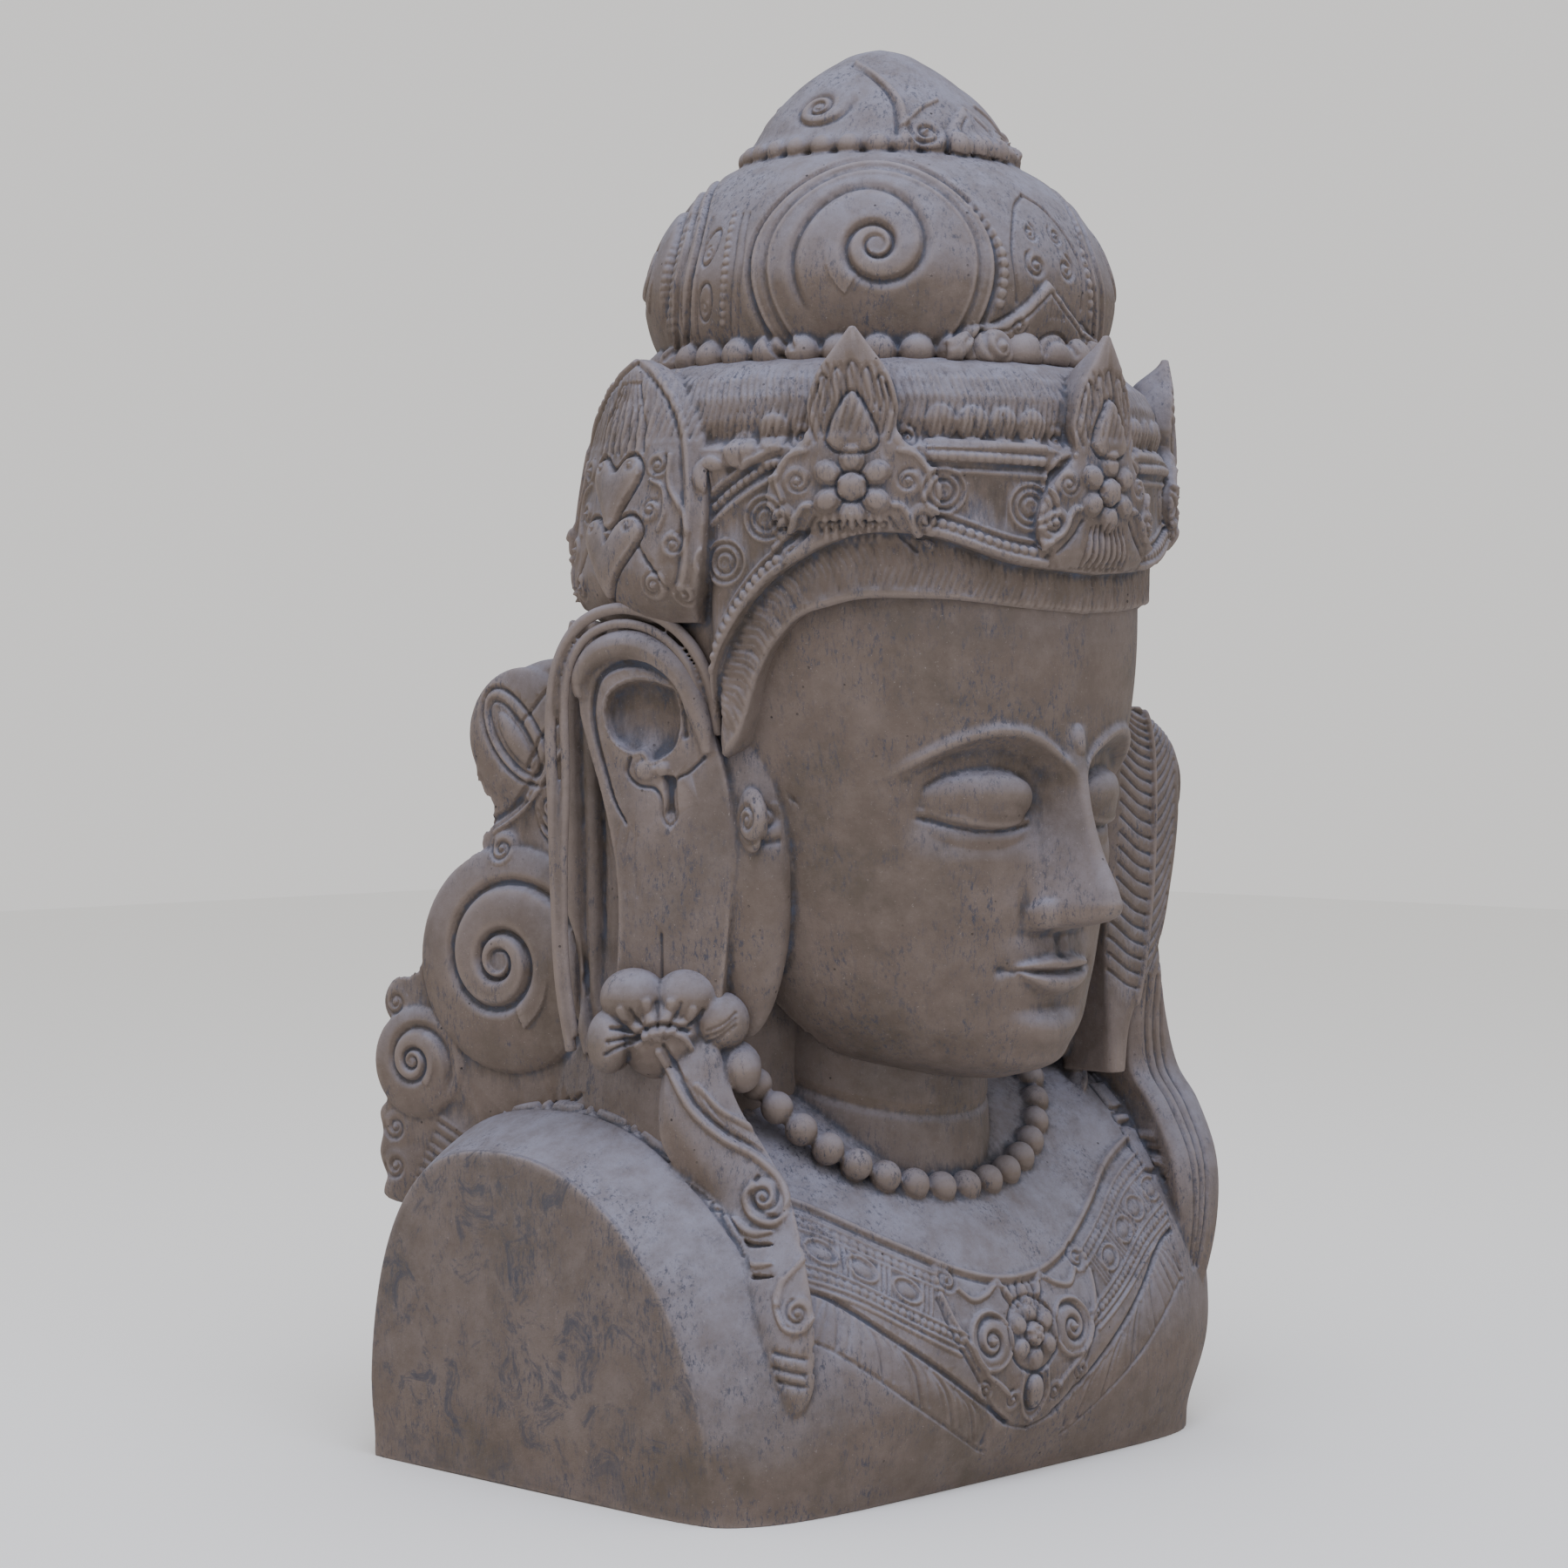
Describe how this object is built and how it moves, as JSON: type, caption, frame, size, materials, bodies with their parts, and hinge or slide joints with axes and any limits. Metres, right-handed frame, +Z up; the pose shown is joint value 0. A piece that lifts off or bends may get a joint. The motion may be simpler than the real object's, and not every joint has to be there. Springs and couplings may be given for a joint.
{
  "type": "garden bust of a balinese rice goddess",
  "caption": "Head-and-shoulders garden statue of a crowned goddess in cast lava stone, sawn flat at both arms and standing on its own flat foot.",
  "frame": {"origin": "middle of the bounding box in plan, on the flat underside that it stands on", "axes": "+Z up, -Y the way the face looks, +X towards the figure's own left arm"},
  "size_m": [0.524, 0.536, 1],
  "materials": {
    "cast_stone": "matte, fine-grained, blue-black wash in the carving"
  },
  "bodies": {
    "root": {"bust": "cast_stone"}
  },
  "joints": []
}
